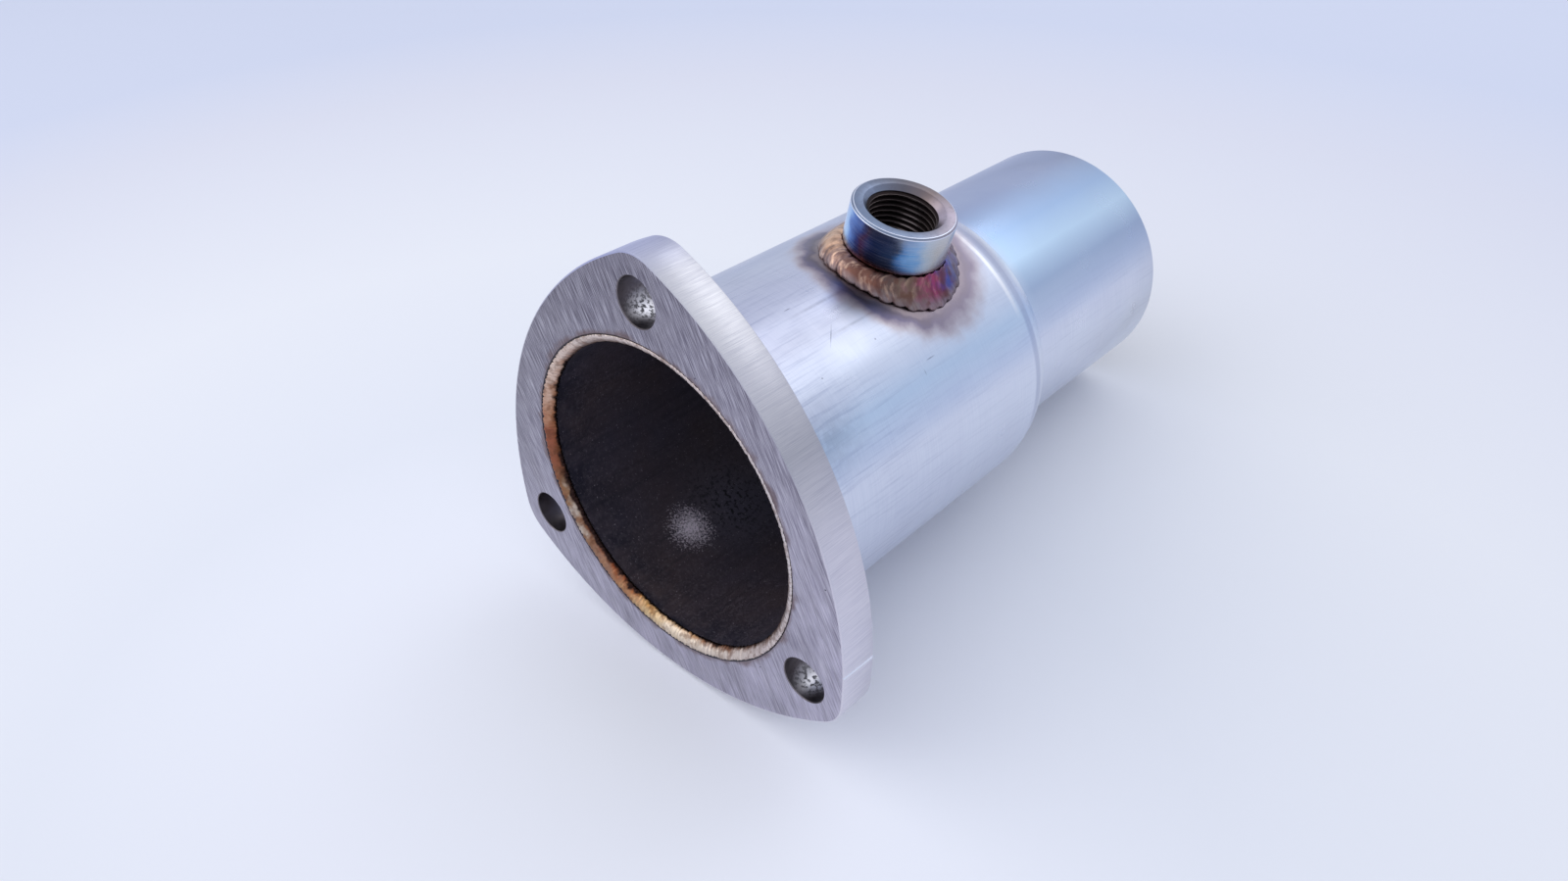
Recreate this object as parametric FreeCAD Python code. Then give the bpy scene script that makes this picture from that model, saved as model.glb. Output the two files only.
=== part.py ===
import FreeCAD, Part
import math
import os

# Exhaust collector adapter, in millimetres.
# The origin is the centre of the flange's mating face. +Y runs along the tube
# to the outlet, +Z points to the top bolt hole and +X to the right.

# Tube
inlet_diameter = 82.55
outlet_diameter = 69.85
tube_wall = 1.65
tube_setback = 2.75
outlet_length = 63.3
shoulder_radius = 16.5
shoulder_root = 1.85
shoulder_cone = 1.0

# Flange
flange_thickness = 10.0
bore_clearance = 0.15
bore_chamfer = 0.7
bolt_count = 3
bolt_hole = 11.6
bolt_land = 3.9
lobe_wall = 5.2
side_land = 9.2
flange_edge_break = 0.4

# Sensor bung
bung_distance = 71.1
bung_clock = 14.7
bung_to_shoulder = 22.45
bung_standoff = 3.3
bung_height = 10.55
thread_minor = 16.4
mouth_chamfer = 1.8
mouth_land = 2.85
bung_edge_break = 0.5
pilot_wall = 2.6
pilot_clearance = 0.1

# Welds
flange_weld_depth = 0.25
flange_weld_bulge = 0.45
bead_leg = 4.95
bead_bulge = 0.9
bead_lip_gap = 0.45
ripple_count = 24
ripple_depth = 0.35
bead_steps = 3
bead_sink = 0.9

# Sizes that follow from those above
inlet_radius = inlet_diameter / 2
outlet_radius = outlet_diameter / 2
bore_radius = inlet_radius + bore_clearance
bore_edge_radius = bore_radius + bore_chamfer
hole_radius = bolt_hole / 2
bolt_circle_radius = bore_edge_radius + bolt_land + hole_radius
lobe_radius = hole_radius + lobe_wall
side_distance = bore_edge_radius + side_land
shoulder_start = bung_distance + bung_to_shoulder
thread_radius = thread_minor / 2
mouth_radius = thread_radius + mouth_chamfer
bung_radius = mouth_radius + mouth_land
pilot_radius = thread_radius + pilot_wall
bung_seat = inlet_radius + bung_standoff
bung_top = bung_seat + bung_height

ALONG = FreeCAD.Vector(0, 1, 0)
UP = FreeCAD.Vector(0, 0, 1)
ORIGIN = FreeCAD.Vector(0, 0, 0)
BUNG_CENTRE = FreeCAD.Vector(0, bung_distance, 0)


def profile_point(radius, distance):
    return FreeCAD.Vector(radius, distance, 0)


def revolve_profile(edges, centre, axis):
    wire = Part.Wire(Part.__sortEdges__(edges))
    return Part.Face(wire).revolve(centre, axis, 360)


def closed_lines(points):
    return [Part.LineSegment(a, b).toShape() for a, b in zip(points, points[1:] + points[:1])]


# The shoulder is an outward-curved bend, a short cone and a tight bend at its root.
# Both bends turn by the angle at which they and the cone make the step in radius.
def shoulder_shape():
    step = inlet_radius - outlet_radius
    bends = shoulder_radius + shoulder_root
    turn = math.acos((bends - step) / math.hypot(bends, shoulder_cone)) - math.atan2(shoulder_cone, bends)
    length = bends * math.sin(turn) + shoulder_cone * math.cos(turn)
    return turn, length


# One side of the tube's wall, at a depth below its outer surface, as edges from
# the flange end to the outlet.
def tube_side(depth):
    turn, length = shoulder_shape()
    shoulder_end = shoulder_start + length
    large = shoulder_radius - depth
    small = shoulder_root + depth
    large_centre = profile_point(inlet_radius - shoulder_radius, shoulder_start)
    small_centre = profile_point(outlet_radius + shoulder_root, shoulder_end)

    def on_large(angle):
        return large_centre + FreeCAD.Vector(large * math.cos(angle), large * math.sin(angle), 0)

    def on_small(angle):
        return small_centre - FreeCAD.Vector(small * math.cos(angle), small * math.sin(angle), 0)

    start = profile_point(inlet_radius - depth, tube_setback)
    end = profile_point(outlet_radius - depth, tube_end())
    return [
        Part.LineSegment(start, on_large(0)).toShape(),
        Part.Arc(on_large(0), on_large(turn / 2), on_large(turn)).toShape(),
        Part.LineSegment(on_large(turn), on_small(turn)).toShape(),
        Part.Arc(on_small(turn), on_small(turn / 2), on_small(0)).toShape(),
        Part.LineSegment(on_small(0), end).toShape(),
    ]


def tube_end():
    return shoulder_start + shoulder_shape()[1] + outlet_length


def pilot_hole():
    radius = pilot_radius + pilot_clearance
    cutter = Part.makeCylinder(radius, bung_top, BUNG_CENTRE, UP)
    return clocked(cutter)


# The bung is drawn upright and leans about the tube's axis to its real place.
def clocked(shape):
    leaning = shape.copy()
    leaning.rotate(ORIGIN, ALONG, bung_clock)
    return leaning


def tube_rim(radius, distance):
    outer = profile_point(radius, distance)
    inner = profile_point(radius - tube_wall, distance)
    return Part.LineSegment(outer, inner).toShape()


def make_body_tube():
    rims = [tube_rim(inlet_radius, tube_setback), tube_rim(outlet_radius, tube_end())]
    return revolve_profile(tube_side(0) + tube_side(tube_wall) + rims, ORIGIN, ALONG).cut(pilot_hole())


# The outline is a lobe round each bolt hole, joined by wide arcs that run
# tangent into the lobes. Each wide arc's centre lies beyond the flange's centre.
def flange_outline():
    half = math.pi / bolt_count
    reach = side_distance - lobe_radius
    offset = (bolt_circle_radius ** 2 - reach ** 2) / (2 * reach - 2 * bolt_circle_radius * math.cos(half))
    side_radius = side_distance + offset
    edges = []
    for index in range(bolt_count):
        middle = math.pi / 2 + 2 * half * index
        centre = polar(bolt_circle_radius, middle)
        ahead = polar(-offset, middle + half)
        behind = polar(-offset, middle - half)
        leave = ahead + unit(centre - ahead) * side_radius
        arrive = behind + unit(centre - behind) * side_radius
        tip = polar(bolt_circle_radius + lobe_radius, middle)
        next_behind = polar(bolt_circle_radius, middle + 2 * half)
        next_arrive = ahead + unit(next_behind - ahead) * side_radius
        edges.append(Part.Arc(arrive, tip, leave).toShape())
        edges.append(Part.Arc(leave, polar(side_distance, middle + half), next_arrive).toShape())
    return Part.Wire(Part.__sortEdges__(edges))


def polar(radius, angle):
    return FreeCAD.Vector(radius * math.cos(angle), 0, radius * math.sin(angle))


def unit(vector):
    return vector / vector.Length


def bolt_places():
    return [polar(bolt_circle_radius, math.pi / 2 + 2 * math.pi * index / bolt_count) for index in range(bolt_count)]


def flange_bore():
    points = [
        profile_point(0, 0),
        profile_point(bore_edge_radius, 0),
        profile_point(bore_radius, bore_chamfer),
        profile_point(bore_radius, flange_thickness),
        profile_point(0, flange_thickness),
    ]
    return revolve_profile(closed_lines(points), ORIGIN, ALONG)


def make_flange_plate():
    plate = Part.Face(flange_outline()).extrude(ALONG * flange_thickness)
    flat_faces = [face for face in plate.Faces if isinstance(face.Surface, Part.Plane)]
    corners = [edge for face in flat_faces for edge in face.Edges]
    plate = plate.makeChamfer(flange_edge_break, corners)
    for place in bolt_places():
        plate = plate.cut(Part.makeCylinder(hole_radius, flange_thickness, place, ALONG))
    return plate.cut(flange_bore())


# The weld fills the corner between the flange's bore and the tube's end, and
# stays behind the mating face.
def make_flange_weld():
    toe = profile_point(bore_edge_radius - flange_weld_depth, flange_weld_depth)
    inner = profile_point(inlet_radius - tube_wall, tube_setback)
    chord = inner - toe
    outward = unit(FreeCAD.Vector(-chord.y, chord.x, 0))
    points = [
        toe,
        (toe + inner) * 0.5 + outward * flange_weld_bulge,
        inner,
        profile_point(bore_radius, tube_setback),
        profile_point(bore_radius, bore_chamfer),
    ]
    return revolve_profile(closed_lines(points), ORIGIN, ALONG)


def upright_bung():
    pilot_end = inlet_radius - tube_wall
    section = [
        (thread_radius, pilot_end),
        (pilot_radius, pilot_end),
        (pilot_radius, bung_seat),
        (bung_radius, bung_seat),
        (bung_radius, bung_top - bung_edge_break),
        (bung_radius - bung_edge_break, bung_top),
        (mouth_radius, bung_top),
        (thread_radius, bung_top - mouth_chamfer),
    ]
    points = [FreeCAD.Vector(radius, bung_distance, height) for radius, height in section]
    return revolve_profile(closed_lines(points), BUNG_CENTRE, UP)


def make_sensor_bung():
    return clocked(upright_bung())


# Height of the tube's surface at a radius and a turn about the bung's axis.
def saddle_height(radius, turn):
    across = radius * math.cos(turn)
    return math.sqrt(inlet_radius ** 2 - across ** 2)


# One section of the bead, standing on the saddle at a turn about the bung's axis.
# The hollow value runs from 0 at a ripple's crest to 1 between two ripples.
def bead_section(turn, hollow):
    toe = bung_radius + bead_leg - ripple_depth * hollow
    top = (bung_radius - bead_lip_gap, bung_seat)
    foot = (toe, saddle_height(toe, turn))
    chord = (foot[0] - top[0], foot[1] - top[1])
    length = math.hypot(*chord)
    bulge = bead_bulge - ripple_depth * hollow
    section = [(pilot_radius, saddle_height(pilot_radius, turn) - bead_sink), (pilot_radius, bung_seat), top]
    for step in range(1, bead_steps):
        share = step / bead_steps
        rise = 4 * bulge * share * (1 - share) / length
        section.append((top[0] + share * chord[0] - rise * chord[1], top[1] + share * chord[1] + rise * chord[0]))
    section.append(foot)
    section.append((toe, foot[1] - bead_sink))
    return [
        BUNG_CENTRE + FreeCAD.Vector(radius * math.cos(turn), radius * math.sin(turn), height)
        for radius, height in section
    ]


# Flat faces between one section of the ring and the next.
def skin_between(here, there):
    faces = []
    for index in range(len(here)):
        after = (index + 1) % len(here)
        corners = (here[index], here[after], there[after], there[index])
        for triangle in (corners[:3], corners[2:] + corners[:1]):
            faces.append(Part.Face(Part.makePolygon(triangle + triangle[:1])))
    return faces


# The bead follows the saddle where the bung meets the tube. Its skin runs from one
# ripple section to the next, and it is seated on the tube and under the bung.
def make_bung_weld():
    count = 2 * ripple_count
    sections = [bead_section(2 * math.pi * index / count, index % 2) for index in range(count)]
    faces = []
    for here, there in zip(sections, sections[1:] + sections[:1]):
        faces += skin_between(here, there)
    skin = Part.makeShell(faces)
    skin.sewShape()
    reach = 2 * (bung_radius + bead_leg)
    tube_core = Part.makeCylinder(inlet_radius, 2 * reach, BUNG_CENTRE - ALONG * reach, ALONG)
    return clocked(Part.makeSolid(skin).cut(tube_core).cut(upright_bung()))


NODES = {
    "flange_plate": make_flange_plate,
    "body_tube": make_body_tube,
    "sensor_bung": make_sensor_bung,
    "flange_weld": make_flange_weld,
    "bung_weld": make_bung_weld,
}


os.makedirs("parts", exist_ok=True)
for name, make in NODES.items():
    shape = make()
    shape.exportStep(f"parts/{name}.step")
    print(name, "solids", len(shape.Solids), "valid", shape.isValid(), "volume", round(shape.Volume, 2))
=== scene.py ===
"""Exhaust collector adapter with a three-bolt flange and a sensor bung, lying on a pale floor.

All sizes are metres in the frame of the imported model: the origin is the centre of the
flange's mating face, +Y runs along the tube and +Z points to the top bolt hole.
"""
import math
import random

import bpy
from mathutils import Matrix, Quaternion, Vector


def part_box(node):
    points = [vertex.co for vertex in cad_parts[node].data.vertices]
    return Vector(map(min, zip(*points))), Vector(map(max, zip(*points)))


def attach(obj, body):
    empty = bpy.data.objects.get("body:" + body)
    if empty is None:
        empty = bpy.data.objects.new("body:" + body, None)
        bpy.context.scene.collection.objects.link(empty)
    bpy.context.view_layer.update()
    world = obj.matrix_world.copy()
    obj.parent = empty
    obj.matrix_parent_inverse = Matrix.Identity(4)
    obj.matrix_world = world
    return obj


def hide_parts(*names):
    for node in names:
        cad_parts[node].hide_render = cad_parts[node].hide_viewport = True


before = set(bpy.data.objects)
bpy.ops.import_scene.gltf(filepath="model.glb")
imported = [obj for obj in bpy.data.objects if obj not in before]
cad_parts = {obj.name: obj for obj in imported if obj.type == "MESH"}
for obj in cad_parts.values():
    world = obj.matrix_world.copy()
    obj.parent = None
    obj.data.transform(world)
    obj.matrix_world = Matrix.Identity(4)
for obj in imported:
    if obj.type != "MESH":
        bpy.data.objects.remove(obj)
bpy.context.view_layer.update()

MM = 0.001
FULL_TURN = 2 * math.pi
MERGE_GAP = 0.002 * MM
ROUND_MIDDLE = 0.29

# Tube
INLET_RADIUS = 41.275 * MM
OUTLET_RADIUS = 34.925 * MM
TUBE_WALL = 1.65 * MM
TUBE_SETBACK = 2.75 * MM
SHOULDER_START = 93.55 * MM
SHOULDER_RADIUS = 16.5 * MM
SHOULDER_ROOT = 1.85 * MM
SHOULDER_CONE = 1.0 * MM
OUTLET_LENGTH = 63.3 * MM
TUBE_EDGE = 0.2 * MM
TUBE_STEPS = 360

# Flange
FLANGE_THICKNESS = 10.0 * MM
FLANGE_EDGE = 0.4 * MM
BOLT_CIRCLE_RADIUS = 51.825 * MM
LOBE_RADIUS = 11.0 * MM
SIDE_DISTANCE = 51.325 * MM
BOLT_COUNT = 3
BOLT_HOLE_RADIUS = 5.8 * MM
BOLT_HOLE_BREAK = 0.2 * MM
BOLT_HOLE_STEPS = 96
BORE_RADIUS = 41.425 * MM
BORE_CHAMFER = 0.7 * MM
BORE_BACK_BREAK = 0.0002 * MM
BORE_STEPS = 192
CUT_MARK_PLACE = (56.25 * MM, -17.8 * MM)
CUT_MARK_LEAN = math.radians(4)
CUT_MARK_SIZE = 0.6 * MM

# Sensor bung
BUNG_DISTANCE = 71.1 * MM
BUNG_CLOCK = math.radians(14.7)
BUNG_SEAT = 44.575 * MM
BUNG_TOP = 55.125 * MM
BUNG_RADIUS = 12.85 * MM
BUNG_EDGE = 0.5 * MM
BUNG_FOOT_EDGE = 0.5 * MM
BUNG_BREAK = 0.12 * MM
PILOT_RADIUS = 10.8 * MM
PILOT_CLEARANCE = 0.1 * MM
MOUTH_RADIUS = 10.0 * MM
THREAD_MINOR = 8.2 * MM
THREAD_MAJOR = 9.0 * MM
THREAD_PITCH = 1.5 * MM
THREAD_FLANK = math.radians(30)
THREAD_INSET = 0.15 * MM
THREAD_LEAD = 0.9 * MM
BUNG_STEPS = 192

# Welds
BEAD_TOE = 17.8 * MM
BEAD_TOP = 12.4 * MM
BEAD_SCALES = 34
BEAD_TIP = math.radians(-6)
BEAD_GRAIN = 0.16 * MM
BEAD_LIP = 0.2 * MM
BEAD_MIDDLE = 15.2 * MM
BEAD_RUN = FULL_TURN * 15 * MM
BEAD_BOW = 0.3 / MM
FLANGE_BEAD_TOE = (41.875 * MM, 0.25 * MM)
FLANGE_BEAD_ROOT = (39.625 * MM, 2.75 * MM)
FLANGE_BEAD_SCALES = 230
FLANGE_BEAD_TIP = math.radians(-14)
FLANGE_BEAD_GRAIN = 0.19 * MM
FLANGE_BEAD_RISE = 0.32 * MM
FLANGE_BEAD_SAG = Vector((-0.16, -0.12)) * MM
FLANGE_BEAD_BURNT_TURN = 0.119
FLANGE_BEAD_RIPPLES = 235


# Selecting and finishing

def deselect_all():
    bpy.ops.object.select_all(action="DESELECT")


def only(piece):
    deselect_all()
    piece.select_set(True)
    bpy.context.view_layer.objects.active = piece


def edit(piece):
    only(piece)
    bpy.ops.object.mode_set(mode="EDIT")
    bpy.ops.mesh.select_all(action="SELECT")


def leave_edit():
    bpy.ops.object.mode_set(mode="OBJECT")


def tidy_skin(piece, gap=MERGE_GAP):
    edit(piece)
    bpy.ops.mesh.remove_doubles(threshold=gap)
    bpy.ops.mesh.normals_make_consistent(inside=False)
    leave_edit()


def named(piece, name):
    piece.name = name
    piece.data.name = name
    return piece


def apply_place(piece):
    only(piece)
    bpy.ops.object.transform_apply(location=True, rotation=True, scale=True)


def apply_modifier(piece, kind, **settings):
    only(piece)
    modifier = piece.modifiers.new(kind.lower(), kind)
    for key, value in settings.items():
        setattr(modifier, key, value)
    bpy.ops.object.modifier_apply(modifier=modifier.name)


def cut_away(piece, tool):
    apply_modifier(piece, "BOOLEAN", operation="DIFFERENCE", object=tool, solver="EXACT")
    bpy.data.objects.remove(tool)


def smooth(piece, angle=30):
    only(piece)
    bpy.ops.object.shade_smooth_by_angle(angle=math.radians(angle))


def joined(pieces, name):
    deselect_all()
    for piece in pieces:
        piece.select_set(True)
    bpy.context.view_layer.objects.active = pieces[0]
    bpy.ops.object.join()
    return named(pieces[0], name)


def dress(piece, finishes, chooser=None):
    """Gives a piece its finishes; the chooser names a finish by a face's middle and normal."""
    piece.data.materials.clear()
    for finish in finishes:
        piece.data.materials.append(finish)
    if chooser:
        for face in piece.data.polygons:
            face.material_index = chooser(face.center, face.normal)


# Turned work

def outline_ring(outline, axis):
    """One corner taken round a closed outline of (radius, distance) points by extruding it."""
    across = Vector((1, 0, 0))
    points = [across * radius + axis * distance for radius, distance in outline]
    bpy.ops.mesh.primitive_plane_add(size=MM)
    piece = bpy.context.object
    edit(piece)
    bpy.ops.mesh.merge(type="CENTER")
    bpy.ops.transform.translate(value=points[0])
    for here, there in zip(points, points[1:] + points[:1]):
        bpy.ops.mesh.extrude_region_move(TRANSFORM_OT_translate={"value": there - here})
    bpy.ops.mesh.select_all(action="SELECT")
    bpy.ops.mesh.remove_doubles(threshold=MERGE_GAP)
    return piece


def turned(name, outline, axis, steps):
    """A solid turned round an axis through the origin from its closed outline."""
    deselect_all()
    piece = outline_ring(outline, axis)
    bpy.ops.mesh.select_all(action="SELECT")
    bpy.ops.mesh.spin(steps=steps, angle=FULL_TURN, center=(0, 0, 0), axis=axis)
    leave_edit()
    tidy_skin(piece)
    return named(piece, name)


def bend(centre, radius, start, end, steps):
    """Points round a bend in an outline, with its angles in radians."""
    points = []
    for step in range(steps + 1):
        angle = start + (end - start) * step / steps
        points.append((centre[0] + radius * math.cos(angle), centre[1] + radius * math.sin(angle)))
    return points


ALONG = Vector((0, 1, 0))
UP = Vector((0, 0, 1))


def shoulder_shape():
    """The turn of the shoulder's two bends and its length along the tube."""
    step = INLET_RADIUS - OUTLET_RADIUS
    bends = SHOULDER_RADIUS + SHOULDER_ROOT
    turn = math.acos((bends - step) / math.hypot(bends, SHOULDER_CONE)) - math.atan2(SHOULDER_CONE, bends)
    return turn, bends * math.sin(turn) + SHOULDER_CONE * math.cos(turn)


def tube_side(depth):
    """The wall's line at a depth below the outer skin, from the flange end to the outlet."""
    turn, length = shoulder_shape()
    end = SHOULDER_START + length
    large = bend((INLET_RADIUS - SHOULDER_RADIUS, SHOULDER_START), SHOULDER_RADIUS - depth, 0, turn, 14)
    small = bend((OUTLET_RADIUS + SHOULDER_ROOT, end), SHOULDER_ROOT + depth, math.pi + turn, math.pi, 10)
    first = (INLET_RADIUS - depth, TUBE_SETBACK)
    last = (OUTLET_RADIUS - depth, end + OUTLET_LENGTH)
    return [first] + large + small + [last]


def softened(outline, corners, size):
    """Breaks the named corners of an outline with a small two-step round."""
    result = []
    count = len(outline)
    for index, point in enumerate(outline):
        if index not in corners:
            result.append(point)
            continue
        here = Vector(point)
        before = (Vector(outline[index - 1]) - here).normalized() * size
        after = (Vector(outline[(index + 1) % count]) - here).normalized() * size
        middle = here + (before + after) * ROUND_MIDDLE
        result += [tuple(here + before), tuple(middle), tuple(here + after)]
    return result


def make_tube():
    outer = tube_side(0)
    inner = tube_side(TUBE_WALL)[::-1]
    outline = outer + inner
    rims = (len(outer) - 1, len(outer))
    piece = turned("collector_tube", softened(outline, rims, TUBE_EDGE), ALONG, TUBE_STEPS)
    radius = PILOT_RADIUS + PILOT_CLEARANCE
    middle = (0, BUNG_DISTANCE, BUNG_TOP / 2)
    bpy.ops.mesh.primitive_cylinder_add(vertices=128, radius=radius, depth=BUNG_TOP, location=middle)
    drill = bpy.context.object
    lean(drill)
    cut_away(piece, drill)
    smooth(piece)
    return piece


def lean(piece):
    """Turns upright work about the tube's axis to the bung's clock place."""
    apply_place(piece)
    piece.rotation_euler = (0, BUNG_CLOCK, 0)
    apply_place(piece)


# Flange

def polar(radius, angle):
    return Vector((radius * math.cos(angle), radius * math.sin(angle), 0))


def arc_knots(centre, start, end, middle_radius, pieces):
    """Knots of a smooth curve along an arc, each with its two handles."""
    share = (end - start) / pieces
    reach = 4 / 3 * math.tan(share / 4) * middle_radius
    knots = []
    for index in range(pieces + 1):
        angle = start + share * index
        place = centre + polar(middle_radius, angle)
        tangent = Vector((-math.sin(angle), math.cos(angle), 0)) * reach
        knots.append((place, place - tangent, place + tangent))
    return knots


def flange_knots():
    """The outline's knots: a lobe round each bolt hole and a wide arc between lobes."""
    half = math.pi / BOLT_COUNT
    reach = SIDE_DISTANCE - LOBE_RADIUS
    offset = (BOLT_CIRCLE_RADIUS ** 2 - reach ** 2) / (2 * reach - 2 * BOLT_CIRCLE_RADIUS * math.cos(half))
    side_radius = SIDE_DISTANCE + offset
    reach_out = polar(BOLT_CIRCLE_RADIUS, 0) - polar(-offset, half)
    spread = math.atan2(reach_out.y, reach_out.x)
    arcs = []
    for index in range(BOLT_COUNT):
        middle = math.pi / 2 + 2 * half * index
        lobe = polar(BOLT_CIRCLE_RADIUS, middle)
        ahead = polar(-offset, middle + half)
        arcs.append(arc_knots(lobe, middle - spread, middle + spread, LOBE_RADIUS, 2))
        arcs.append(arc_knots(ahead, middle + spread, middle + 2 * half - spread, side_radius, 2))
    return arcs


def merged_knots(arcs):
    """One closed run of knots from arcs that meet end to start."""
    run = []
    for index, arc in enumerate(arcs):
        before = arcs[index - 1][-1]
        run.append((arc[0][0], before[1], arc[0][2]))
        run += arc[1:-1]
    return run


def flat_plate(name, knots, thickness, edge):
    """A plate from a flat closed curve, standing upright with its front at the origin's plane."""
    bpy.ops.curve.primitive_bezier_circle_add()
    piece = bpy.context.object
    curve = piece.data
    curve.dimensions = "2D"
    curve.fill_mode = "BOTH"
    curve.resolution_u = 20
    curve.extrude = thickness / 2 - edge
    curve.bevel_depth = edge
    curve.bevel_resolution = 1
    curve.offset = -edge
    spline = curve.splines[0]
    spline.bezier_points.add(len(knots) - len(spline.bezier_points))
    for point, (place, left, right) in zip(spline.bezier_points, knots):
        point.handle_left_type = point.handle_right_type = "FREE"
        point.co, point.handle_left, point.handle_right = place, left, right
    only(piece)
    bpy.ops.object.convert(target="MESH")
    piece = bpy.context.object
    piece.rotation_euler = (math.pi / 2, 0, 0)
    piece.location = (0, thickness / 2, 0)
    apply_place(piece)
    tidy_skin(piece)
    return named(piece, name)


def drill_tool(radius, break_front, break_back, steps):
    """A cutter along +Y that opens a bore and breaks its two edges."""
    clear = 1.0 * MM
    back = FLANGE_THICKNESS
    outline = [
        (0, -clear),
        (radius + break_front + clear, -clear),
        (radius, break_front),
        (radius, back - break_back),
        (radius + break_back + clear, back + clear),
        (0, back + clear),
    ]
    return turned("drill", outline, ALONG, steps)


def bolt_places():
    turns = [math.pi / 2 + FULL_TURN * index / BOLT_COUNT for index in range(BOLT_COUNT)]
    return [polar(BOLT_CIRCLE_RADIUS, turn) for turn in turns]


def make_flange():
    piece = flat_plate("collector_flange", merged_knots(flange_knots()), FLANGE_THICKNESS, FLANGE_EDGE)
    cut_away(piece, drill_tool(BORE_RADIUS, BORE_CHAMFER, BORE_BACK_BREAK, BORE_STEPS))
    for place in bolt_places():
        tool = drill_tool(BOLT_HOLE_RADIUS, BOLT_HOLE_BREAK, BOLT_HOLE_BREAK, BOLT_HOLE_STEPS)
        tool.location = (place.x, 0, place.y)
        apply_place(tool)
        cut_away(piece, tool)
    cut_away(piece, cut_mark_tool())
    smooth(piece)
    return piece


def cut_mark_tool():
    """The thin V-shaped mark across the rim beside the right-hand lobe."""
    across, height = CUT_MARK_PLACE
    bpy.ops.mesh.primitive_cube_add(size=1, location=(across, FLANGE_THICKNESS / 2, height))
    tool = bpy.context.object
    tool.scale = (CUT_MARK_SIZE, 2 * FLANGE_THICKNESS, CUT_MARK_SIZE)
    tool.rotation_mode = "YXZ"
    tool.rotation_euler = (-CUT_MARK_LEAN, math.pi / 4, 0)
    apply_place(tool)
    return tool


# Sensor bung

def thread_tool():
    """A helical ridge that cuts the thread, a little longer than the hole."""
    half_tip = THREAD_PITCH / 16
    inset = THREAD_MINOR - THREAD_INSET
    half_root = half_tip + (THREAD_MAJOR - inset) * math.tan(THREAD_FLANK)
    low = INLET_RADIUS - TUBE_WALL - 2 * THREAD_PITCH
    turns = math.ceil((BUNG_TOP + THREAD_PITCH - low) / THREAD_PITCH)
    outline = [
        (inset, low - half_root),
        (THREAD_MAJOR, low - half_tip),
        (THREAD_MAJOR, low + half_tip),
        (inset, low + half_root),
    ]
    deselect_all()
    tool = outline_ring(outline, UP)
    leave_edit()
    apply_modifier(
        tool, "SCREW", axis="Z", angle=FULL_TURN, screw_offset=THREAD_PITCH, iterations=turns,
        steps=72, render_steps=72, use_merge_vertices=False, use_normal_calculate=True,
    )
    edit(tool)
    bpy.ops.mesh.select_all(action="DESELECT")
    bpy.ops.mesh.select_mode(type="EDGE")
    bpy.ops.mesh.select_non_manifold()
    bpy.ops.mesh.fill_holes(sides=8)
    bpy.ops.mesh.select_all(action="SELECT")
    bpy.ops.mesh.normals_make_consistent(inside=False)
    bpy.ops.mesh.select_mode(type="VERT")
    leave_edit()
    return tool


def make_bung():
    foot = INLET_RADIUS - TUBE_WALL
    outline = [
        (THREAD_MINOR, foot),
        (PILOT_RADIUS, foot),
        (PILOT_RADIUS, BUNG_SEAT),
        (BUNG_RADIUS - BUNG_FOOT_EDGE, BUNG_SEAT),
        (BUNG_RADIUS, BUNG_SEAT + BUNG_FOOT_EDGE),
        (BUNG_RADIUS, BUNG_TOP - BUNG_EDGE),
        (BUNG_RADIUS - BUNG_EDGE, BUNG_TOP),
        (MOUTH_RADIUS, BUNG_TOP),
        (THREAD_MINOR, BUNG_TOP - (MOUTH_RADIUS - THREAD_MINOR)),
    ]
    piece = turned("threaded_bung", softened(outline, (3, 4, 5, 6, 7), BUNG_BREAK), UP, BUNG_STEPS)
    cut_away(piece, thread_tool())
    edit(piece)
    bpy.ops.transform.translate(value=(0, BUNG_DISTANCE, 0))
    leave_edit()
    lean(piece)
    smooth(piece)
    return piece


# Weld beads

def scale_of_weld(place, path, across, outward, half_sizes, lift):
    """One flat drop of weld lying on its bead, tipped so that it overlaps the drop before it."""
    bpy.ops.mesh.primitive_uv_sphere_add(segments=14, ring_count=8, radius=1)
    drop = bpy.context.object
    tip = Quaternion(across, lift)
    path, outward = tip @ path, tip @ outward
    axes = Matrix((path, across, outward)).transposed().to_4x4()
    sizes = Matrix.Diagonal((*half_sizes, 1))
    drop.matrix_world = Matrix.Translation(place) @ axes @ sizes
    return drop


def cooled(pieces, name, grain, rounds):
    """Melts overlapping drops into one skin."""
    bead = joined(pieces, name)
    apply_place(bead)
    apply_modifier(bead, "REMESH", mode="VOXEL", voxel_size=grain, use_smooth_shade=True)
    apply_modifier(bead, "SMOOTH", factor=0.5, iterations=rounds)
    tidy_skin(bead, 0.0005 * MM)
    return bead


def saddle_height(radius, turn):
    return math.sqrt(INLET_RADIUS ** 2 - (radius * math.cos(turn)) ** 2)


def bung_bead_section(turn):
    """The bead's top and toe at a turn about the upright bung's axis."""
    around = Vector((math.cos(turn), math.sin(turn), 0))
    top = around * BEAD_TOP + UP * (BUNG_SEAT + BEAD_LIP)
    toe = around * BEAD_TOE + UP * saddle_height(BEAD_TOE, turn)
    return top, toe


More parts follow.
